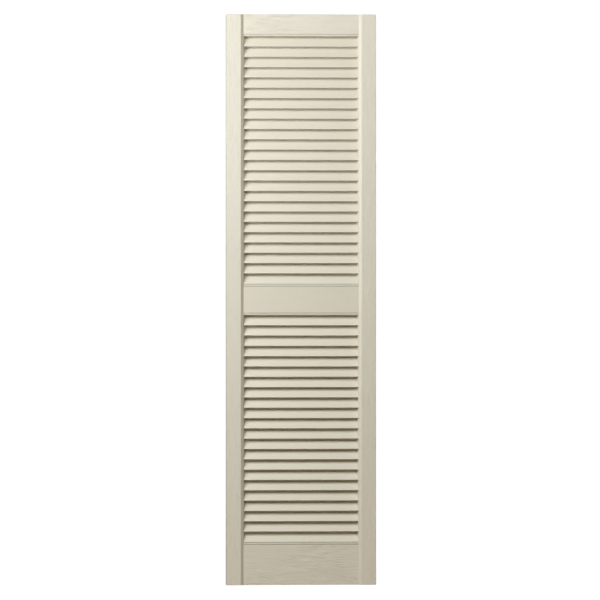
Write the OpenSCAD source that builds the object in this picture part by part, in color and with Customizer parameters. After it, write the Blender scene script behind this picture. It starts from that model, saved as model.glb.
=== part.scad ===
// Louvred shutter panel: a fixed-louvre exterior shutter moulded in one piece.
//
// +Z is up, the face looks towards -Y and the back rim lies on the wall at y = 0. The origin is the
// centre of the back. The mould opens along Y, so every face is either drafted or parallel to Y.
// Sections are lists of corners: [y, z] for what runs across the panel, [x, y] for what runs up it.

/* [Panel] */
// Width over the two side walls
panel_w = 368.3; // [300:0.1:480]
// Height over the two end walls
panel_h = 1397; // [800:1:2200]
// Depth from the wall to the faces of the stiles
panel_d = 30; // [26:0.5:45]
// Thickness of the moulded skin
wall = 2.4; // [1.8:0.1:3.2]
// Radius of the outer front edges of the stiles
edge_r = 1.2; // [0.4:0.1:2]
// How far each side wall leans in from the wall to the face
side_lean = 0.6; // [0:0.1:1.5]
// Chamfer on the front edges of the two ends
end_chamfer = 0.8; // [0.2:0.1:1.2]

/* [Stiles] */
// Width of the flat face of each stile
stile_w = 36; // [26:0.5:60]
// Width of the slope between that face and the rails
bevel_w = 7; // [3:0.5:12]
// How far the stile faces stand in front of the rails
stile_proud = 5; // [2:0.5:7]
// Lean of the walls that close the louvres' ends, in degrees
recess_draft = 20; // [5:1:24]

/* [Rails] */
// Height of the top rail
top_rail_h = 53.5; // [30:0.5:120]
// Height of the middle rail
mid_rail_h = 76.5; // [40:0.5:140]
// Least height of the bottom rail, which takes what the louvres leave over
bottom_rail_min = 90; // [40:1:160]

/* [Louvres] */
// Distance from one louvre's nose to the next
louvre_pitch = 25.25; // [20:0.25:34]
// How far the louvres' roots lie behind their noses
louvre_depth = 13; // [8:0.5:15.5]
// Fall of each louvre's underside from its nose to the root behind it, in degrees
underside_fall = 15; // [8:1:24]
// Radius of the noses
nose_r = 1.3; // [0.6:0.1:1.8]

/* [Grooves] */
// Distance between the two grooves that make the bead along a rail's edge
bead_h = 5.4; // [4:0.1:9]
// Width of a groove
groove_w = 2.2; // [0.8:0.1:2.6]
// Depth of a groove
groove_d = 1.2; // [0.4:0.1:1.2]

/* [Ribs] */
// Thickness of the ribs at the back
rib_t = 2; // [1.2:0.1:3]
// How far the ribs stop short of the wall
rib_setback = 1; // [0.5:0.1:2]
// Number of upright ribs behind the louvres
rib_count = 2; // [1:1:5]
// Largest distance between two webs in a stile
web_pitch_max = 130; // [80:1:200]
// Distance of the ribs behind the rails from the rails' edges
rail_rib_inset = 8; // [6:0.5:12]

/* [Screw bosses] */
// Distance of the end bosses from the panel's ends
boss_end = 60; // [30:1:150]
// Outer diameter of a boss
boss_d = 12; // [9:0.5:16]
// Diameter of a boss's bore
bore_d = 6.6; // [4:0.1:7.5]

/* [Hidden] */

skin_colour = "#ded8c6";
groove_foot = 0.75;
arc_steps = 4;
through = 1;

top = panel_h / 2;
face_y = -panel_d;
rail_y = face_y + stile_proud;
root_y = rail_y + louvre_depth;
root_drop = louvre_depth * tan(underside_fall);

// Where the louvres begin and end: the middle rail sits as near to mid-height as the pitch allows
upper_count = round((top - mid_rail_h / 2 - top_rail_h) / louvre_pitch);
upper_top = top - top_rail_h;
mid_top = upper_top - upper_count * louvre_pitch;
mid_bottom = mid_top - mid_rail_h;
lower_count = floor((mid_bottom + top - bottom_rail_min) / louvre_pitch);
bottom_rail_top = mid_bottom - lower_count * louvre_pitch;

boss_x = panel_w / 2 - stile_w / 2;
boss_z = top - boss_end;
boss_zs = [-boss_z, 0, boss_z];
web_bays = ceil(boss_z / web_pitch_max);
rail_inner_x = panel_w / 2 - stile_w - bevel_w;

function unit(v) = v / norm(v);
function turned(v, a) = [v[0] * cos(a) - v[1] * sin(a), v[0] * sin(a) + v[1] * cos(a)];
function reversed(path) = [for (i = [len(path) - 1:-1:0]) path[i]];

// The point at height y on the line from p to q
function at_y(p, q, y) = p + (q - p) * (y - p[1]) / (q[1] - p[1]);

// The corner p, between its neighbours a and b, rounded to radius r
function rounded(a, p, b, r) =
    let (u = unit(a - p), v = unit(b - p), half = acos(u * v) / 2,
         centre = p + unit(u + v) * r / sin(half),
         start = p + u * r / tan(half) - centre,
         turn = -sign(cross(u, v)) * (180 - 2 * half))
    [for (i = [0:arc_steps]) centre + turned(start, turn * i / arc_steps)];

// A path moved to its left by t, with mitred corners
function inset(path, t) =
    let (last = len(path) - 1)
    [for (i = [0:last])
        let (a = turned(unit(path[max(i, 1)] - path[max(i, 1) - 1]), 90),
             b = turned(unit(path[min(i, last - 1) + 1] - path[min(i, last - 1)]), 90))
        path[i] + t * (a + b) / (1 + a * b)];

// Louvres, from the nose that overhangs the first one at z
function nose(z) = [rail_y, z];
function root(z) = [root_y, z - root_drop];
function sharp_louvres(z, count) =
    [for (i = [0:count - 1]) each [nose(z - i * louvre_pitch), root(z - i * louvre_pitch)]];
function round_louvres(z, count) =
    [for (i = [0:count - 1])
        let (n = z - i * louvre_pitch)
        each concat(rounded(i == 0 ? nose(n + 1) : root(n + louvre_pitch), nose(n), root(n), nose_r),
                    [root(n)])];

// The front of the rails and louvres as [y, z], from the wall over the top, down and back to the wall
function band_path(upper, lower) =
    concat([[0, top], [rail_y, top]], upper, [nose(mid_top)], lower,
           [nose(bottom_rail_top), [rail_y, -top], [0, -top]]);
sharp_band = band_path(sharp_louvres(upper_top, upper_count), sharp_louvres(mid_bottom, lower_count));
round_band = band_path(round_louvres(upper_top, upper_count), round_louvres(mid_bottom, lower_count));

// The front of the right stile as [x, y], from the wall inside to the wall outside
stile_inner = [rail_inner_x, rail_y];
stile_foot = [rail_inner_x + rail_y * tan(recess_draft), 0];
stile_edge = [panel_w / 2 - stile_w, face_y];
stile_corner = [panel_w / 2 - side_lean, face_y];
stile_side = [panel_w / 2, 0];
stile_path = [stile_foot, stile_inner, stile_edge, stile_corner, stile_side];

module across(from, to) { translate([from, 0, 0]) rotate([90, 0, 90]) linear_extrude(to - from) children(); }
module upright(from, to) { translate([0, 0, from]) linear_extrude(to - from) children(); }
module both_sides() { children(); mirror([1, 0, 0]) children(); }

module stile_block() {
    upright(-top, top)
        polygon(concat([stile_foot, stile_inner, stile_edge],
                       rounded(stile_edge, stile_corner, stile_side, edge_r), [stile_side]));
}

module stile_cavity() {
    upright(-top + wall, top - wall) polygon(inset(stile_path, wall));
}

module band() {
    across(-boss_x, boss_x) polygon(concat(round_band, reversed(inset(sharp_band, wall))));
}

module skin() {
    difference() {
        union() {
            band();
            both_sides() stile_block();
        }
        both_sides() stile_cavity();
    }
}

// An upright rib behind the louvres
module louvre_rib(x) {
    mid_wall = inset(sharp_band, wall / 2);
    last = len(mid_wall) - 1;
    across(x - rib_t / 2, x + rib_t / 2)
        polygon(concat([[-rib_setback, mid_wall[0][1]]], [for (i = [1:last - 1]) mid_wall[i]],
                       [[-rib_setback, mid_wall[last][1]]]));
}

// A web across a stile's channel
module stile_web(z) {
    p = inset(stile_path, wall / 2);
    upright(z - rib_t / 2, z + rib_t / 2)
        polygon([at_y(p[0], p[1], -rib_setback), p[1], p[2], p[3], at_y(p[3], p[4], -rib_setback)]);
}

// A rib behind a rail, from one stile to the other
module rail_rib(z) {
    foot = at_y(stile_foot, stile_inner, -rib_setback)[0] + wall / 2;
    front = at_y(stile_foot, stile_inner, rail_y + wall / 2)[0] + wall / 2;
    upright(z - rib_t / 2, z + rib_t / 2)
        polygon([[-foot, -rib_setback], [-front, rail_y + wall / 2],
                 [front, rail_y + wall / 2], [foot, -rib_setback]]);
}

module ribs() {
    bay = 2 * stile_foot[0] / (rib_count + 1);
    for (i = [1:rib_count]) louvre_rib(-stile_foot[0] + i * bay);
    both_sides() for (i = [-web_bays:web_bays]) stile_web(i * boss_z / web_bays);
    for (z = [upper_top + rail_rib_inset, mid_top - rail_rib_inset,
              mid_bottom + rail_rib_inset, bottom_rail_top - rail_rib_inset]) rail_rib(z);
}

// A round bar along Y from the wall to a depth
module bar(x, z, d, from, to) {
    translate([x, from, z]) rotate([90, 0, 0]) cylinder(d = d, h = from - to, $fn = 48);
}

module bosses() {
    both_sides() for (z = boss_zs) bar(boss_x, z, boss_d, 0, face_y + wall / 2);
}

module bores() {
    both_sides() for (z = boss_zs) bar(boss_x, z, bore_d, through, face_y + wall);
}

// A groove across the rails' face, from z down: its upper side slopes in and its lower side is steep
module groove(z) {
    slope = groove_w * groove_foot;
    steep = groove_w - slope;
    across(-rail_inner_x - bevel_w, rail_inner_x + bevel_w)
        polygon([[rail_y + groove_d, z - slope], [rail_y - groove_d, z + slope],
                 [rail_y - groove_d, z - groove_w - steep]]);
}

// The grooves leave the slopes of the stiles whole
module grooves() {
    intersection() {
        for (z = [upper_top + bead_h, mid_bottom + bead_h, mid_top, mid_top - bead_h,
                  bottom_rail_top, bottom_rail_top - bead_h]) groove(z);
        translate([-rail_inner_x, rail_y - through, -top]) cube([2 * rail_inner_x, panel_d, panel_h]);
    }
}

// The chamfers along the front edges of one end
module end_chamfers() {
    for (front = [[face_y, panel_w], [rail_y, 2 * rail_inner_x]])
        across(-front[1] / 2 - through, front[1] / 2 + through)
            polygon([[front[0] - through, top + through],
                     [front[0] + end_chamfer + through, top + through],
                     [front[0] - through, top - end_chamfer - through]]);
}

module shutter_panel() {
    color(skin_colour)
        difference() {
            union() {
                skin();
                ribs();
                bosses();
            }
            bores();
            grooves();
            end_chamfers();
            mirror([0, 0, 1]) end_chamfers();
        }
}

shutter_panel();
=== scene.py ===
"""Louvred exterior shutter: the moulded panel's finished surface, its plastic and a studio to show it in."""

import math

import bmesh
import bpy
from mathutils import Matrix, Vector


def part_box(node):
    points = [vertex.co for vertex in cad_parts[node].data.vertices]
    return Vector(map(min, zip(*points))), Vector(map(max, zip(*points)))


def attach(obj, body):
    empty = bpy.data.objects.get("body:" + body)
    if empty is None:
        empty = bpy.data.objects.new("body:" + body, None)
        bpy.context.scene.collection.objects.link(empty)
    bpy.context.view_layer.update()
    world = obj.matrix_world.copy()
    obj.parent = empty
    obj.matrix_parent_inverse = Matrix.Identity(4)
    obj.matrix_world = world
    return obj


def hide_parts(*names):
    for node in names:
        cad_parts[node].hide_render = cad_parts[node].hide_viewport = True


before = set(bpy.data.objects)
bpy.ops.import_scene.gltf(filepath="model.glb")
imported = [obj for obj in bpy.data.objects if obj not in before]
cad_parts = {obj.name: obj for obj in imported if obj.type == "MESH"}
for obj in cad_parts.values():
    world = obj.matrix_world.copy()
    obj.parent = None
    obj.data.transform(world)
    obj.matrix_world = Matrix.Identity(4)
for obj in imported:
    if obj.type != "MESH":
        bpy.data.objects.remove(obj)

bl_info = {
    "name": "Louvred Shutter",
    "version": (1, 0, 0),
    "blender": (4, 5, 0),
    "location": "View3D > Sidebar > Shutter",
    "description": "Models a moulded louvred shutter panel around its construction model",
    "category": "Add Mesh",
}

NODE = "shutter_panel"
PIECE = "shutter_moulding"
BODY = "root"
MM = 0.001

LOW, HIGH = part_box(NODE)
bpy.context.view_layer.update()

# How finely the curves are drawn
NOSE_STEPS = 8
ROOT_STEPS = 3
CORNER_STEPS = 5
EDGE_STEPS = 3
GROOVE_STEPS = 2
END_STEPS = 3
ROD_SIDES = 48

# How near two points are that count as one, how flat faces are that merge, and how sharp an edge stays sharp
SAME = 2e-6
FLAT = math.radians(0.2)
SHARP = math.radians(32)

# How far inside the louvres' ends a sheet starts, and how far a cutter runs out past the wall
ASIDE = 5 * MM
BEYOND = 5 * MM

# How much of a groove's width its long upper side takes
GROOVE_FOOT = 0.75

# The woodgrain's streaks, as their width across the grain and their run along it, and how far they wander
BROAD_STREAK = (4.5 * MM, 40 * MM)
NARROW_STREAK = (1.4 * MM, 18 * MM)
TICK = (2.2 * MM, 20 * MM)
WANDER = 9 * MM
STILES_WANDER = 0.4 * WANDER

# The width over which the grain turns upright, and how many of its depths the noise's whole range stands for
GRAIN_TURN = 0.1 * MM
GRAIN_RANGE = 3

# How much of the grain each part of the front loses, and how far down a face looks where it has none and all
LOUVRES_LOSE = 0.7
MIDDLE_RAIL_LOSES = 0.7
SHADED_LOSES = 0.3
STILES_LOSE = 0.45
UNDERSIDES = (-0.25, -0.02)

# How much the colour changes at random, along the streaks and in the ticks, how much a painted highlight
# lightens the noses and painted shade darkens the grooves, and how much rougher the ticks are
TONE = 0.02
STREAK_CONTRAST = 0.3
TICKS_DARKEN = 0.06
NOSES_PAINTED_HIGHLIGHT = 0.07
GROOVES_PAINTED_SHADE = 0.22
TICKS_ROUGHEN = 0.1

# The plain plastic behind: its range of shade and of roughness, and the height of its fine bumps
BACK_SHADE = (0.94, 1.0)
BACK_ROUGHNESS = (0.42, 0.55)
BACK_BUMPS = 0.03 * MM

# Depths behind the rails' face between which a nose and its painted highlight end, a groove and its painted
# shade begin and a louvre falls into shade
NOSE_ENDS = (0.7 * MM, 1.4 * MM)
GROOVE_BEGINS = (0.15 * MM, 0.6 * MM)
SHADE_BEGINS = (5 * MM, 10 * MM)

# Each lamp's place, its width and height, and what it is aimed at
LAMPS = {
    "key": ((-1.2, -1.0, 0.66), (0.6, 1.0), (0, 0, 0.3)),
    "front": ((0, -3.0, 1.5), (3.0, 1.0), (0, 0, 0)),
    "above": ((0, -2.0, 2.0), (3.0, 1.0), (0, 0, 0)),
    "floor_light": ((0, -0.8, -1.0), (1.6, 0.8), (0, 0, 0.2)),
    "back": ((1.6, 2.7, 0.9), (2.5, 2.0), (0, 0, 0)),
}

# The floor's size, its gap under the panel, how much of it is plain white near the panel, and the distances,
# squared, between which all of it turns white
FLOOR_SIZE = 200
FLOOR_GAP = 0.2 * MM
FLOOR_WHITE = 0.86
FLOOR_FADE = (0.3, 4.0)

# How bright the white of the floor and of the surround is
FLOOR_GLOW = 1.08
SURROUND_GLOW = 1.05

# What the camera is aimed at, its film's width in millimetres, and how far it sees
AIM = Vector((-3.2 * MM, LOW.y, -1.0 * MM))
FILM_WIDTH = 36
FARTHEST = 100


# Sizes and finishes


def length(name, description, default):
    """A length, from a default in metres."""
    return bpy.props.FloatProperty(
        name=name, description=description, default=default, unit="LENGTH", precision=5)


def power(name, description, default):
    """A lamp's power, in watts."""
    return bpy.props.FloatProperty(name=name, description=description, default=default, unit="POWER", min=0)


def tint(name, description, default):
    """A colour, as linear red, green and blue."""
    return bpy.props.FloatVectorProperty(
        name=name, description=description, default=default, subtype="COLOR", min=0, max=1)


class ShutterSizes(bpy.types.PropertyGroup):
    """The panel's sizes. The overall ones come from the construction model."""

    width: length("Width", "Over the two side walls", HIGH.x - LOW.x)
    height: length("Height", "Over the two end walls", HIGH.z - LOW.z)
    depth: length("Depth", "From the wall to the faces of the stiles", HIGH.y - LOW.y)
    wall: length("Wall", "Thickness of the moulded skin", 2.4 * MM)
    stile_width: length("Stile width", "Flat face of each stile", 36 * MM)
    slope_width: length("Slope width", "Slope between a stile's face and the rails", 7 * MM)
    stile_proud: length("Stile proud", "How far the stiles stand in front of the rails", 5 * MM)
    side_lean: length("Side lean", "How far each side wall leans in from the wall to the face", 0.6 * MM)
    top_rail: length("Top rail", "Height of the top rail", 53.5 * MM)
    middle_rail: length("Middle rail", "Height of the middle rail", 76.5 * MM)
    least_bottom_rail: length("Least bottom rail", "Least height of the bottom rail", 90 * MM)
    pitch: length("Louvre pitch", "From one louvre's nose to the next", 25.25 * MM)
    louvre_depth: length("Louvre depth", "From a louvre's nose back to its root", 13 * MM)
    nose_radius: length("Nose radius", "Radius of the noses", 1.3 * MM)
    root_radius: length(
        "Root radius", "Radius of the hollow where an underside meets the louvre below", 0.5 * MM)
    bead: length("Bead", "Between the two grooves along a rail's edge", 5.4 * MM)
    groove_width: length("Groove width", "Width of a groove", 2.2 * MM)
    groove_depth: length("Groove depth", "Depth of a groove", 1.2 * MM)
    groove_radius: length("Groove radius", "Radius of a groove's edges and foot", 0.25 * MM)
    corner_radius: length("Corner radius", "Radius of the outer front edges", 1.2 * MM)
    edge_radius: length("Edge radius", "Radius of the slopes' upper edges", 0.8 * MM)
    end_radius: length("End radius", "Radius of the front edges of the two ends", 0.7 * MM)
    rib: length("Rib", "Thickness of the ribs at the back", 2 * MM)
    rib_setback: length("Rib setback", "How far the ribs stop short of the wall", 1 * MM)
    rail_rib_inset: length("Rail rib inset", "From a rail's edge to the rib behind it", 8 * MM)
    web_pitch: length("Web pitch", "Largest distance between two webs in a stile", 130 * MM)
    boss_end: length("Boss end", "From the end bosses to the panel's ends", 60 * MM)
    boss_diameter: length("Boss diameter", "Outer diameter of a boss", 12 * MM)
    bore_diameter: length("Bore diameter", "Diameter of a boss's bore", 6.6 * MM)
    recess_draft: bpy.props.FloatProperty(
        name="Recess draft", description="Lean of the walls that close the louvres' ends",
        default=math.radians(20), subtype="ANGLE")
    underside_fall: bpy.props.FloatProperty(
        name="Underside fall", description="Fall of a louvre's underside from its nose to the root behind",
        default=math.radians(15), subtype="ANGLE")
    ribs: bpy.props.IntProperty(
        name="Upright ribs", description="Number of upright ribs behind the louvres", default=2, min=1)


class ShutterFinish(bpy.types.PropertyGroup):
    """The plastic's colour and grain."""

    colour: tint("Colour", "Almond plastic", (0.668, 0.6, 0.458))
    roughness: bpy.props.FloatProperty(
        name="Roughness", description="Satin sheen of the moulded skin", default=0.45, min=0, max=1)
    grain_depth: length("Grain depth", "Depth of the moulded woodgrain", 0.3 * MM)


class StudioSettings(bpy.types.PropertyGroup):
    """How far off the camera stands, and the lamps' powers and colours."""

    camera_distance: length("Camera distance", "From the camera to the panel", 10.0)
    camera_side: length("Camera side", "How far the camera stands to the left of the panel", 0.464)
    view_height: length("View height", "Height that the picture covers at the panel", 1.4683)
    key_watts: power("Key light", "Power of the lamp at the upper left", 27.5)
    key_colour: tint("Key colour", "Colour of the lamp at the upper left", (0.785, 0.865, 1.0))
    front_watts: power("Front light", "Power of the wide lamp in front", 34.0)
    front_colour: tint("Front colour", "Colour of the wide lamp in front", (1.0, 1.0, 0.97))
    above_watts: power("Upper light", "Power of the wide lamp above", 27.5)
    above_colour: tint("Upper colour", "Colour of the wide lamp above", (0.89, 0.93, 1.0))
    floor_light_watts: power("Floor light", "Power of the lamp near the floor", 3.2)
    floor_light_colour: tint("Floor light colour", "Colour of the lamp near the floor", (1.0, 0.917, 0.793))
    back_watts: power("Back light", "Power of the lamp behind the panel", 135)
    back_colour: tint("Back colour", "Colour of the lamp behind the panel", (0.9, 0.95, 1.0))
    room_strength: bpy.props.FloatProperty(
        name="Room light", description="Strength of the light from all round", default=0.02, min=0)
    room_colour: tint("Room colour", "Colour of the light from all round", (1.0, 0.91, 0.785))


class Layout:
    """Where the panel's parts lie, from its sizes. Section points are (x, y), profile points (y, z)."""

    def __init__(self, s):
        self.side = s.width / 2
        self.top = s.height / 2
        self.face_y = -s.depth
        self.rail_y = self.face_y + s.stile_proud
        self.root_y = self.rail_y + s.louvre_depth
        self.root_drop = s.louvre_depth * math.tan(s.underside_fall)
        self.draft = math.tan(s.recess_draft)
        self.foot_x = self.side - s.stile_width - s.slope_width
        self.edge_x = self.side - s.stile_width
        self.upper_top = self.top - s.top_rail
        self.upper_count = round((self.upper_top - s.middle_rail / 2) / s.pitch)
        self.mid_top = self.upper_top - self.upper_count * s.pitch
        self.mid_bottom = self.mid_top - s.middle_rail
        self.lower_count = int((self.mid_bottom + self.top - s.least_bottom_rail) / s.pitch)
        self.bottom_top = self.mid_bottom - self.lower_count * s.pitch
        self.boss_x = self.side - s.stile_width / 2
        self.boss_zs = (s.boss_end - self.top, 0.0, self.top - s.boss_end)
        bays = math.ceil(self.boss_zs[2] / s.web_pitch)
        self.web_zs = [i * self.boss_zs[2] / bays for i in range(-bays, bays + 1)]

    def end_x(self, y):
        """How far out the wall that closes the louvres' ends stands, at a depth."""
        return self.foot_x - (y - self.rail_y) * self.draft

    def rail(self, z):
        """A point on the rails' face, which the noses reach too."""
        return Vector((self.rail_y, z))

    def root(self, z):
        """The root behind the nose at z."""
        return Vector((self.root_y, z - self.root_drop))


def unit(vector):
    return vector.normalized()


def rounded(before, corner, after, radius, steps):
    """The points of the arc that rounds a corner between its two neighbours."""
    u, v = unit(before - corner), unit(after - corner)
    half = math.acos(u.dot(v)) / 2
    centre = corner + unit(u + v) * radius / math.sin(half)
    start, end = (corner + w * radius / math.tan(half) - centre for w in (u, v))
    sweep = math.atan2(start.x * end.y - start.y * end.x, start.dot(end))
    arc = []
    for i in range(steps + 1):
        c, s = math.cos(sweep * i / steps), math.sin(sweep * i / steps)
        arc.append(centre + Vector((start.x * c - start.y * s, start.x * s + start.y * c)))
    return arc


def inset(path, distance):
    """A path moved to its left, with mitred corners."""
    sides = []
    for a, b in zip(path, path[1:]):
        along = unit(b - a)
        sides.append(Vector((-along.y, along.x)))
    before, after = [sides[0]] + sides, sides + [sides[-1]]
    return [p + distance * (a + b) / (1 + a.dot(b)) for p, a, b in zip(path, before, after)]


def smooth(corners):
    """A path through corners given as (point, radius, steps). All but its two ends are rounded."""
    points = [corners[0][0]]
    for before, (corner, radius, steps), after in zip(corners, corners[1:], corners[2:]):
        points += rounded(before[0], corner, after[0], radius, steps)
    return points + [corners[-1][0]]


def reach(inner, outer, y):
    """The point at depth y on the line through two points of a section."""
    return inner + (outer - inner) * (y - inner.y) / (outer.y - inner.y)


# Modelling helpers


def deselect_all():
    bpy.ops.object.select_all(action="DESELECT")


def make_active(obj):
    deselect_all()
    obj.select_set(True)
    bpy.context.view_layer.objects.active = obj


def edit(obj):
    make_active(obj)
    bpy.ops.object.mode_set(mode="EDIT")


def end_edit():
    bpy.ops.object.mode_set(mode="OBJECT")


def pick(verts=None, edges=None, faces=None):
    """Selects, in edit mode, the vertices, edges or faces that a test says yes to."""
    obj = bpy.context.edit_object
    mesh = bmesh.from_edit_mesh(obj.data)
    kind = "VERT" if verts else "EDGE" if edges else "FACE"
    bpy.ops.mesh.select_mode(type=kind)
    bpy.ops.mesh.select_all(action="DESELECT")
    test = verts or edges or faces
    for item in {"VERT": mesh.verts, "EDGE": mesh.edges, "FACE": mesh.faces}[kind]:
        if test(item):
            item.select_set(True)
    mesh.select_flush_mode()
    bmesh.update_edit_mesh(obj.data)


def pull(move):
    """Extrudes the selected edges."""
    bpy.ops.mesh.extrude_edges_move(TRANSFORM_OT_translate={"value": move})


def both(edge, axis, value):
    """Whether both ends of an edge have this coordinate."""
    return all(abs(v.co[axis] - value) < SAME for v in edge.verts)


def apply(obj, kind, **settings):
    """Adds a modifier to an object and applies it."""
    make_active(obj)
    modifier = obj.modifiers.new(kind.title(), kind)
    for name, value in settings.items():
        setattr(modifier, name, value)
    bpy.ops.object.modifier_apply(modifier=modifier.name)


def cut(obj, cutter):
    """Cuts one solid out of another, with the cutter's material on the cut, and removes the cutter."""
    apply(obj, "BOOLEAN", operation="DIFFERENCE", solver="EXACT", material_mode="TRANSFER", object=cutter)
    bpy.data.meshes.remove(cutter.data)


def block(name, low, high):
    """A block from one corner to another, used to cut with."""
    low, high = Vector(low), Vector(high)
    deselect_all()
    bpy.ops.mesh.primitive_cube_add(size=1, location=(low + high) / 2)
    obj = bpy.context.object
    obj.name = name
    obj.scale = high - low
    bpy.ops.object.transform_apply(location=True, rotation=True, scale=True)
    return obj


def rod(name, x, z, diameter, front, back):
    """A round rod along Y, used to cut with."""
    deselect_all()
    bpy.ops.mesh.primitive_cylinder_add(
        vertices=ROD_SIDES, radius=diameter / 2, depth=back - front,
        location=(x, (front + back) / 2, z), rotation=(math.pi / 2, 0, 0))
    obj = bpy.context.object
    obj.name = name
    bpy.ops.object.transform_apply(location=True, rotation=True, scale=True)
    return obj


def joined(objects):
    """Several objects as the first one."""
    deselect_all()
    for obj in objects:
        obj.select_set(True)
    bpy.context.view_layer.objects.active = objects[0]
    if len(objects) > 1:
        bpy.ops.object.join()
    return objects[0]


def sheet(name, lay, start, section, profile):
    """A sheet across the panel.

    It starts as a plane as wide as start, grows a mirrored section outwards and is pulled down through the
    profile's heights. Each row's inner two points then go to the depth that the profile gives and to the wall
    that closes the louvres' ends.
    """
    deselect_all()
    high, low = profile[0].y, profile[1].y
    bpy.ops.mesh.primitive_plane_add(
        size=1, location=(0, start.y, (high + low) / 2), rotation=(math.pi / 2, 0, 0))
    obj = bpy.context.object
    obj.name = name
    obj.scale = (2 * start.x, high - low, 1)
    bpy.ops.object.transform_apply(location=True, rotation=True, scale=True)
    edit(obj)
    for side in (1, -1):
        pick(edges=lambda e: both(e, 0, side * start.x))
        at = start
        for point in section:
            pull((side * (point.x - at.x), point.y - at.y, 0))
            at = point
    pick(edges=lambda e: both(e, 2, low))
    at = low
    for point in profile[2:]:
        pull((0, 0, point.y - at))
        at = point.y
    for y, z in profile:
        pick(verts=lambda v: abs(v.co.z - z) < SAME and abs(abs(v.co.x) - start.x) < SAME
             and abs(v.co.y - start.y) < SAME)
        bpy.ops.transform.translate(value=(0, y - start.y, 0))
        bpy.ops.transform.resize(value=(lay.end_x(y) / start.x, 1, 1), center_override=(0, y, z))
    end_edit()
    return obj


def close(obj):
    """Gives a sheet its two end faces and its back, and makes its faces point outwards."""
    edit(obj)
    bpy.ops.mesh.select_all(action="SELECT")
    bpy.ops.mesh.remove_doubles(threshold=SAME)
    heights = [v.co.z for v in bmesh.from_edit_mesh(obj.data).verts]
    for z in (min(heights), max(heights)):
        pick(edges=lambda e: both(e, 2, z) and e.is_boundary)
        bpy.ops.mesh.edge_face_add()
    pick(edges=lambda e: e.is_boundary)
    bpy.ops.mesh.edge_face_add()
    bpy.ops.mesh.select_all(action="SELECT")
    bpy.ops.mesh.normals_make_consistent(inside=False)
    end_edit()
    return obj


# The panel's front


def nose_start(s, lay, z):
    """Where the rounding of a nose begins on the face of its louvre."""
    return rounded(lay.root(z + s.pitch), lay.rail(z), lay.root(z), s.nose_radius, 1)[0]


def louvre_profile(s, lay, z):
    """One pitch of the louvres, from where a nose's rounding begins to where the next one's does."""
    corners = [
        (nose_start(s, lay, z), 0, 0), (lay.rail(z), s.nose_radius, NOSE_STEPS),
        (lay.root(z), s.root_radius, ROOT_STEPS), (nose_start(s, lay, z - s.pitch), 0, 0)]
    return smooth(corners)[1:]


def groove_corners(s, lay, z):
    """The upper edge, the foot and the lower edge of a groove that begins at z."""
    foot = Vector((lay.rail_y + s.groove_depth, z - s.groove_width * GROOVE_FOOT))
    return [(p, s.groove_radius, GROOVE_STEPS)
            for p in (lay.rail(z), foot, lay.rail(z - s.groove_width))]


def rail_profile(s, lay, top, bottom):
    """A rail, with the end of the louvre above it and the start of the louvres below it where it has them."""
    if top < lay.top:
        grooves = [top, top - s.bead]
        corners = [(nose_start(s, lay, top), 0, 0)]
    else:
        grooves = []
        corners = [(lay.rail(top), 0, 0)]
    if bottom > -lay.top:
        grooves.append(bottom + s.bead)
        end = [(lay.rail(bottom), s.nose_radius, NOSE_STEPS), (lay.root(bottom), s.root_radius, ROOT_STEPS),
               (nose_start(s, lay, bottom - s.pitch), 0, 0)]
    else:
        end = [(lay.rail(bottom), 0, 0)]
    for z in grooves:
        corners += groove_corners(s, lay, z)
    return smooth(corners + end)


def stile_section(s, lay):
    """The right stile's front, from the foot of its slope round to the wall."""
    foot = Vector((lay.foot_x, lay.rail_y))
    edge = Vector((lay.edge_x, lay.face_y))
    corner = Vector((lay.side - s.side_lean, lay.face_y))
    back = Vector((lay.side, 0))
    return smooth([(foot, 0, 0), (edge, s.edge_radius, EDGE_STEPS), (corner, s.corner_radius, CORNER_STEPS),
                   (back, 0, 0)])


def front_sheet(s, lay):
    """The whole front with its side walls, from the rails and a louvre that is repeated between them."""
    start = Vector((lay.foot_x - ASIDE, lay.rail_y))
    section = stile_section(s, lay)
    parts = []
    rails = ((lay.top, lay.upper_top), (lay.mid_top, lay.mid_bottom), (lay.bottom_top, -lay.top))
    for top, bottom in rails:
        parts.append(sheet("rail", lay, start, section, rail_profile(s, lay, top, bottom)))
    for top, count in ((lay.upper_top, lay.upper_count), (lay.mid_bottom, lay.lower_count)):
        louvre = sheet("louvre", lay, start, section, louvre_profile(s, lay, top - s.pitch))
        apply(louvre, "ARRAY", count=count - 1, use_relative_offset=False, use_constant_offset=True,
              constant_offset_displace=(0, 0, -s.pitch), use_merge_vertices=True, merge_threshold=SAME)
        parts.append(louvre)
    return joined(parts)


def tidy_stiles(obj, lay):
    """Merges the rows that the louvres left across the plain faces of the stiles."""
    edit(obj)
    pick(faces=lambda f: abs(f.calc_center_median().x) > lay.foot_x)
    bpy.ops.mesh.dissolve_limited(angle_limit=FLAT)
    end_edit()


def round_ends(obj, s, lay):
    """Rounds the edges round the two ends, but for the one on the wall."""
    edit(obj)
    pick(edges=lambda e: any(both(e, 2, z) for z in (lay.top, -lay.top)) and not both(e, 1, 0))
    bpy.ops.mesh.bevel(
        offset_type="OFFSET", offset=s.end_radius, segments=END_STEPS, profile=0.5, clamp_overlap=False)
    end_edit()


# What is hollow behind the panel


def band_corners(lay, s):
    """The sharp corners of the rails' and louvres' front, from the wall over the top and down to the wall."""
    louvres = []
    for top, count in ((lay.upper_top, lay.upper_count), (lay.mid_bottom, lay.lower_count)):
        for i in range(count):
            louvres += [lay.rail(top - i * s.pitch), lay.root(top - i * s.pitch)]
        louvres.append(lay.rail(top - count * s.pitch))
    return [Vector((0, lay.top)), lay.rail(lay.top), *louvres, lay.rail(-lay.top), Vector((0, -lay.top))]


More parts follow.
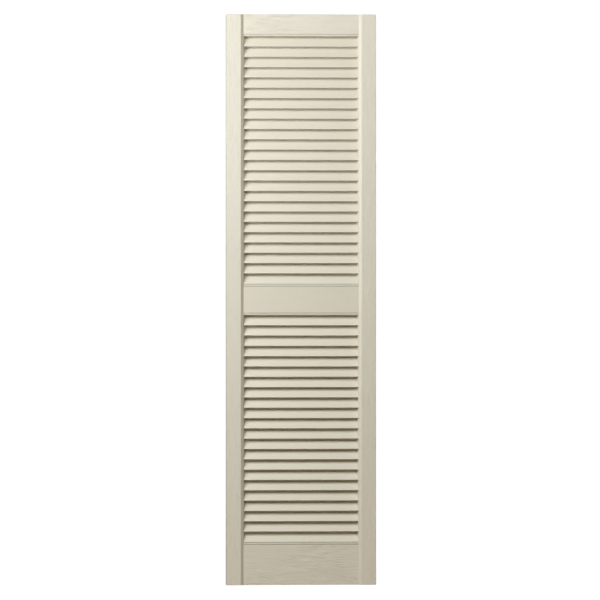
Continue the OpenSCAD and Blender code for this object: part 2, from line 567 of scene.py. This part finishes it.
def louvre_hollow(s, lay):
    """The hollow behind the rails and louvres, without the ribs that cross it."""
    start = Vector((lay.foot_x - ASIDE, lay.rail_y + s.wall))
    back = Vector((lay.end_x(BEYOND), BEYOND))
    hollow = close(sheet("hollow", lay, start, [back], inset(band_corners(lay, s), s.wall)[1:-1]))
    rib_zs = (lay.upper_top + s.rail_rib_inset, lay.mid_top - s.rail_rib_inset,
              lay.mid_bottom + s.rail_rib_inset, lay.bottom_top - s.rail_rib_inset)
    cut(hollow, joined([rib_block(s, lay, "rail_rib", 2, z) for z in rib_zs]))
    bay = 2 * lay.end_x(0) / (s.ribs + 1)
    rib_xs = [(i + 1) * bay - lay.end_x(0) for i in range(s.ribs)]
    cut(hollow, joined([rib_block(s, lay, "louvre_rib", 0, x) for x in rib_xs]))
    return hollow


def rib_block(s, lay, name, axis, place):
    """A block as thick as a rib across an axis, as large as the panel the other way."""
    high = Vector((lay.side, -s.rib_setback, lay.top))
    low = Vector((-lay.side, lay.face_y, -lay.top))
    low[axis], high[axis] = place - s.rib / 2, place + s.rib / 2
    return block(name, low, high)


def stile_hollow(s, lay):
    """The channel behind the right stile, without the webs and bosses that cross it."""
    corners = [Vector(p) for p in ((lay.end_x(0), 0), (lay.foot_x, lay.rail_y), (lay.edge_x, lay.face_y),
                                   (lay.side - s.side_lean, lay.face_y), (lay.side, 0))]
    foot, inner, edge, corner, side = inset(corners, s.wall)
    height = lay.top - s.wall
    deselect_all()
    bpy.ops.mesh.primitive_plane_add(
        size=1, location=((edge.x + corner.x) / 2, edge.y, 0), rotation=(math.pi / 2, 0, 0))
    hollow = bpy.context.object
    hollow.scale = (corner.x - edge.x, 2 * height, 1)
    bpy.ops.object.transform_apply(location=True, rotation=True, scale=True)
    edit(hollow)
    for path in ([edge, inner, reach(inner, foot, BEYOND)], [corner, reach(corner, side, BEYOND)]):
        pick(edges=lambda e: both(e, 0, path[0].x))
        for a, b in zip(path, path[1:]):
            pull((b.x - a.x, b.y - a.y, 0))
    end_edit()
    close(hollow)
    cut(hollow, joined([rib_block(s, lay, "web", 2, z) for z in lay.web_zs]))
    cut(hollow, joined([rod("boss", lay.boss_x, z, s.boss_diameter, lay.face_y, 2 * BEYOND)
                        for z in lay.boss_zs]))
    return hollow


def mirrored(obj):
    """A copy of a solid on the panel's other side."""
    other = obj.copy()
    other.data = obj.data.copy()
    bpy.context.collection.objects.link(other)
    make_active(other)
    other.scale.x = -1
    bpy.ops.object.transform_apply(location=True, rotation=True, scale=True)
    edit(other)
    bpy.ops.mesh.select_all(action="SELECT")
    bpy.ops.mesh.normals_make_consistent(inside=False)
    end_edit()
    return other


def bore_rods(s, lay):
    """What the six bosses' bores take away."""
    return joined([rod("bore", side * lay.boss_x, z, s.bore_diameter, lay.face_y + s.wall, BEYOND)
                   for side in (1, -1) for z in lay.boss_zs])


# Materials


class Value:
    """A number in a material's nodes. Sums written with it add the nodes that work them out."""

    def __init__(self, nodes, socket):
        self.nodes = nodes
        self.socket = socket

    def math(self, operation, *terms):
        """What an operation makes of some terms."""
        made = self.nodes.node("ShaderNodeMath", {"operation": operation}, dict(enumerate(terms)))
        return Value(self.nodes, made.outputs[0])

    def __add__(self, other):
        return self.math("ADD", self, other)

    def __sub__(self, other):
        return self.math("SUBTRACT", self, other)

    def __mul__(self, other):
        return self.math("MULTIPLY", self, other)

    def __radd__(self, other):
        return self.math("ADD", other, self)

    def __rsub__(self, other):
        return self.math("SUBTRACT", other, self)

    def __rmul__(self, other):
        return self.math("MULTIPLY", other, self)

    def __abs__(self):
        return self.math("ABSOLUTE", self)

    def ramp(self, low, high):
        """0 up to low, 1 from high on, and smooth in between."""
        made = self.nodes.node(
            "ShaderNodeMapRange", {"interpolation_type": "SMOOTHSTEP"},
            {"Value": self, "From Min": low, "From Max": high})
        return Value(self.nodes, made.outputs[0])

    def between(self, low, high):
        """low where this is 0 and high where it is 1."""
        return self * (high - low) + low


class Nodes:
    """The nodes of one material, or of a tree that is given."""

    def __init__(self, name="", tree=None):
        if tree is None:
            self.material = bpy.data.materials.new(name)
            self.material.use_nodes = True
            tree = self.material.node_tree
        self.tree = tree
        tree.nodes.clear()

    def node(self, kind, settings=(), inputs=()):
        """A node of a kind, with its settings and then the values or links of its sockets."""
        made = self.tree.nodes.new(kind)
        for name, value in dict(settings).items():
            setattr(made, name, value)
        for name, value in dict(inputs).items():
            if isinstance(value, Value):
                value = value.socket
            if isinstance(value, bpy.types.NodeSocket):
                self.tree.links.new(value, made.inputs[name])
            else:
                made.inputs[name].default_value = value
        return made

    def place(self):
        """The object coordinates, as three values."""
        coordinates = self.node("ShaderNodeTexCoord")
        parts = self.node("ShaderNodeSeparateXYZ", inputs={0: coordinates.outputs["Object"]})
        return [Value(self, parts.outputs[i]) for i in range(3)]

    def facing(self):
        """How far the surface faces up, from -1 to 1."""
        geometry = self.node("ShaderNodeNewGeometry")
        parts = self.node("ShaderNodeSeparateXYZ", inputs={0: geometry.outputs["Normal"]})
        return Value(self, parts.outputs[2])

    def vector(self, x, y, z):
        """A vector from its three values."""
        return self.node("ShaderNodeCombineXYZ", inputs={0: x, 1: y, 2: z}).outputs[0]

    def noise(self, vector, **inputs):
        """Noise from 0 to 1 at a vector, with features about one unit long."""
        made = self.node("ShaderNodeTexNoise", inputs={
            "Vector": vector, "Scale": 1.0, "Detail": 2.0, "Roughness": 0.5,
            **{name.title(): value for name, value in inputs.items()}})
        return Value(self, made.outputs[0])

    def cloud(self, across, up, **inputs):
        """Noise from 0 to 1 with so many features in a metre, across and up."""
        x, y, z = self.place()
        return self.noise(self.vector(x * across, y * across, z * up), **inputs)

    def toned(self, colour, shade):
        """A colour made lighter or darker all over by a value."""
        made = self.node("ShaderNodeVectorMath", {"operation": "SCALE"}, {0: colour, "Scale": shade})
        return made.outputs[0]

    def bumpy(self, distance, height):
        """The normals of a surface that a height from 0 to 1 raises by up to a distance."""
        made = self.node("ShaderNodeBump", inputs={"Strength": 1.0, "Distance": distance, "Height": height})
        return made.outputs[0]

    def plastic(self, colour, roughness, normal):
        """The finished material, from its colour, its roughness and its normals."""
        shader = self.node("ShaderNodeBsdfPrincipled", inputs={
            "Base Color": colour, "Roughness": roughness, "Normal": normal})
        return self.finish(shader.outputs[0])

    def finish(self, shader):
        """The material, with a shader on its surface."""
        self.node("ShaderNodeOutputMaterial", inputs={"Surface": shader})
        return self.material


def back_plastic(finish):
    """The plain moulded surface behind the panel, a little uneven and duller than the front."""
    nodes = Nodes("plain_almond_plastic")
    flow = nodes.cloud(across=9, up=3, detail=3.0)
    fine = nodes.cloud(across=900, up=900)
    return nodes.plastic(
        nodes.toned(finish.colour, flow.between(*BACK_SHADE)), flow.between(*BACK_ROUGHNESS),
        nodes.bumpy(BACK_BUMPS, fine))


def front_plastic(finish, s, lay):
    """Almond plastic with a moulded woodgrain, upright on the stiles and level between them, with a painted
    highlight on the noses and painted shade in the grooves.
    """
    nodes = Nodes("woodgrain_almond_plastic")
    x, y, z = nodes.place()
    upright = abs(x).ramp(lay.foot_x, lay.foot_x + GRAIN_TURN)

    def streaks(width, run, **inputs):
        """Noise in streaks of a width and a run, along the grain."""
        across, along = 1 / width, 1 / run
        wave = nodes.cloud(across=14, up=30, detail=1.0).between(-1, 1)
        bend = wave * (1 - upright) * WANDER
        sway = wave * upright * STILES_WANDER
        return nodes.noise(nodes.vector(
            (x + sway) * upright.between(along, across), y * across,
            (z + bend) * upright.between(across, along)), **inputs)

    # Masks for the parts of the front, from where they lie and how far they stand behind the rails' face
    half_middle = s.middle_rail / 2
    middle = 1 - abs(z - (lay.mid_top + lay.mid_bottom) / 2).ramp(half_middle, half_middle + SAME)
    ends = z.ramp(lay.upper_top, lay.upper_top + SAME) + 1 - z.ramp(lay.bottom_top - SAME, lay.bottom_top)
    louvres = (1 - middle - ends) * (1 - upright)
    behind = y - lay.rail_y
    # The noses' mask carries a painted highlight, standing in for the light that their rounded edges catch
    nose = louvres * (1 - behind.ramp(*NOSE_ENDS))
    # The grooves' mask carries painted shade, standing in for the shade that collects in them
    groove = (middle + ends) * (1 - upright) * behind.ramp(*GROOVE_BEGINS)
    shaded = louvres * behind.ramp(*SHADE_BEGINS)

    # The grain comes and goes in patches, and the undersides have none
    patches = nodes.cloud(across=7, up=11, detail=1.0).ramp(0.35, 0.65).between(0.5, 1.0)
    lost = (louvres * LOUVRES_LOSE + middle * (1 - upright) * MIDDLE_RAIL_LOSES
            + (nose + shaded) * SHADED_LOSES + upright * STILES_LOSE)
    depth = patches * (1 - lost) * nodes.facing().ramp(*UNDERSIDES)

    # Broad and narrow streaks stand up, and ticks are sunk between them
    broad = streaks(*BROAD_STREAK, detail=2.0)
    narrow = streaks(*NARROW_STREAK, detail=2.0)
    ticks = streaks(*TICK, detail=1.0).ramp(0.56, 0.68)
    height = (broad * 0.6 + narrow * 0.3 - ticks * 0.35) * depth
    tone = nodes.cloud(across=5, up=5, detail=2.0).between(-TONE, TONE)
    streak = ((broad - 0.5) * STREAK_CONTRAST - ticks * TICKS_DARKEN) * depth
    # Besides random tone and the grain's streaks, the shade holds a painted highlight on the noses and
    # painted shade in the grooves
    shade = 1 + tone + streak + nose * NOSES_PAINTED_HIGHLIGHT - groove * GROOVES_PAINTED_SHADE
    return nodes.plastic(
        nodes.toned(finish.colour, shade), finish.roughness + ticks * TICKS_ROUGHEN + tone,
        nodes.bumpy(finish.grain_depth * GRAIN_RANGE, height))


# Operators


class SHUTTER_OT_panel(bpy.types.Operator):
    """Models the moulded panel and gives it its plastic"""

    bl_idname = "shutter.panel"
    bl_label = "Shutter panel"

    def execute(self, context):
        s, finish = context.scene.shutter_sizes, context.scene.shutter_finish
        lay = Layout(s)
        panel = front_sheet(s, lay)
        panel.name = panel.data.name = PIECE
        close(panel)
        round_ends(panel, s, lay)
        tidy_stiles(panel, lay)
        panel.data.materials.append(front_plastic(finish, s, lay))
        plain = back_plastic(finish)
        right = stile_hollow(s, lay)
        left = mirrored(right)
        for cutter in (louvre_hollow(s, lay), right, left, bore_rods(s, lay)):
            cutter.data.materials.clear()
            cutter.data.materials.append(plain)
            cut(panel, cutter)
        make_active(panel)
        bpy.ops.object.shade_smooth_by_angle(angle=SHARP)
        apply(panel, "WEIGHTED_NORMAL", mode="FACE_AREA", weight=50, keep_sharp=True)
        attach(panel, BODY)
        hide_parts(NODE)
        return {"FINISHED"}


def look_at(obj, target):
    """Turns a lamp or a camera towards a point."""
    obj.rotation_euler = (Vector(target) - obj.location).to_track_quat("-Z", "Y").to_euler()


def lamp(name, place, size, target, watts, colour):
    """A flat soft lamp, aimed at a point, that the camera doesn't see."""
    deselect_all()
    bpy.ops.object.light_add(type="AREA", location=place)
    obj = bpy.context.object
    obj.name = name
    obj.data.shape = "RECTANGLE"
    obj.data.size, obj.data.size_y = size
    obj.data.energy = watts
    obj.data.color = colour
    obj.visible_camera = False
    look_at(obj, target)


def pale_world(studio):
    """A white surround for the camera, and a dim one for the light."""
    world = bpy.data.worlds.new("pale_surround")
    world.use_nodes = True
    nodes = Nodes(tree=world.node_tree)
    seen = nodes.node("ShaderNodeLightPath").outputs["Is Camera Ray"]
    room = nodes.node("ShaderNodeBackground", inputs={
        "Color": (*studio.room_colour, 1), "Strength": studio.room_strength})
    white = nodes.node("ShaderNodeBackground", inputs={"Color": (1, 1, 1, 1), "Strength": SURROUND_GLOW})
    mix = nodes.node("ShaderNodeMixShader", inputs={0: seen, 1: room.outputs[0], 2: white.outputs[0]})
    nodes.node("ShaderNodeOutputWorld", inputs={"Surface": mix.outputs[0]})
    bpy.context.scene.world = world


def pale_floor():
    """A white floor that takes a faint shadow near the panel and fades into the surround."""
    deselect_all()
    bpy.ops.mesh.primitive_plane_add(size=FLOOR_SIZE, location=(0, 0, LOW.z - FLOOR_GAP))
    floor = bpy.context.object
    floor.name = "pale_floor"
    nodes = Nodes("pale_floor")
    x, y, _ = nodes.place()
    far = (x * x + y * y).ramp(*FLOOR_FADE)
    diffuse = nodes.node("ShaderNodeBsdfDiffuse", inputs={"Color": (0.9, 0.9, 0.9, 1)})
    glow = nodes.node("ShaderNodeEmission", inputs={"Color": (1, 1, 1, 1), "Strength": FLOOR_GLOW})
    mix = nodes.node("ShaderNodeMixShader", inputs={
        0: far.between(FLOOR_WHITE, 1.0), 1: diffuse.outputs[0], 2: glow.outputs[0]})
    floor.data.materials.append(nodes.finish(mix.outputs[0]))
    floor.visible_diffuse = False
    floor.visible_glossy = False


class SHUTTER_OT_studio(bpy.types.Operator):
    """Adds the floor, the soft lamps and the camera"""

    bl_idname = "shutter.studio"
    bl_label = "Studio"

    def execute(self, context):
        scene, studio = context.scene, context.scene.shutter_studio
        pale_floor()
        pale_world(studio)
        for name, (place, size, target) in LAMPS.items():
            watts = getattr(studio, name + "_watts")
            colour = getattr(studio, name + "_colour")
            lamp(name, place, size, target, watts, colour)
        camera = bpy.data.objects.new("camera", bpy.data.cameras.new("camera"))
        context.collection.objects.link(camera)
        far = studio.camera_distance
        side = studio.camera_side
        camera.location = (-side, LOW.y - math.sqrt(far ** 2 - side ** 2), AIM.z)
        look_at(camera, AIM)
        camera.data.sensor_width = FILM_WIDTH
        camera.data.lens = camera.data.sensor_width * far / studio.view_height
        camera.data.clip_end = FARTHEST
        scene.camera = camera
        scene.view_settings.view_transform = "Standard"
        scene.view_settings.look = "None"
        return {"FINISHED"}


class SHUTTER_PT_panel(bpy.types.Panel):
    """Lists the sizes, the finish and what makes the shutter"""

    bl_idname = "SHUTTER_PT_panel"
    bl_label = "Louvred shutter"
    bl_space_type = "VIEW_3D"
    bl_region_type = "UI"
    bl_category = "Shutter"

    def draw(self, context):
        layout = self.layout
        for operator in OPERATORS:
            layout.operator(operator.bl_idname)
        for name in ("shutter_sizes", "shutter_finish", "shutter_studio"):
            group = getattr(context.scene, name)
            box = layout.box()
            for field in group.__annotations__:
                box.prop(group, field)


OPERATORS = (SHUTTER_OT_panel, SHUTTER_OT_studio)
GROUPS = {"shutter_sizes": ShutterSizes, "shutter_finish": ShutterFinish, "shutter_studio": StudioSettings}
CLASSES = (*GROUPS.values(), *OPERATORS, SHUTTER_PT_panel)


def register():
    for cls in CLASSES:
        bpy.utils.register_class(cls)
    for name, group in GROUPS.items():
        setattr(bpy.types.Scene, name, bpy.props.PointerProperty(type=group))


def unregister():
    for name in GROUPS:
        delattr(bpy.types.Scene, name)
    for cls in reversed(CLASSES):
        bpy.utils.unregister_class(cls)


def main():
    register()
    bpy.ops.shutter.panel()
    bpy.ops.shutter.studio()


if __name__ == "__main__":
    main()
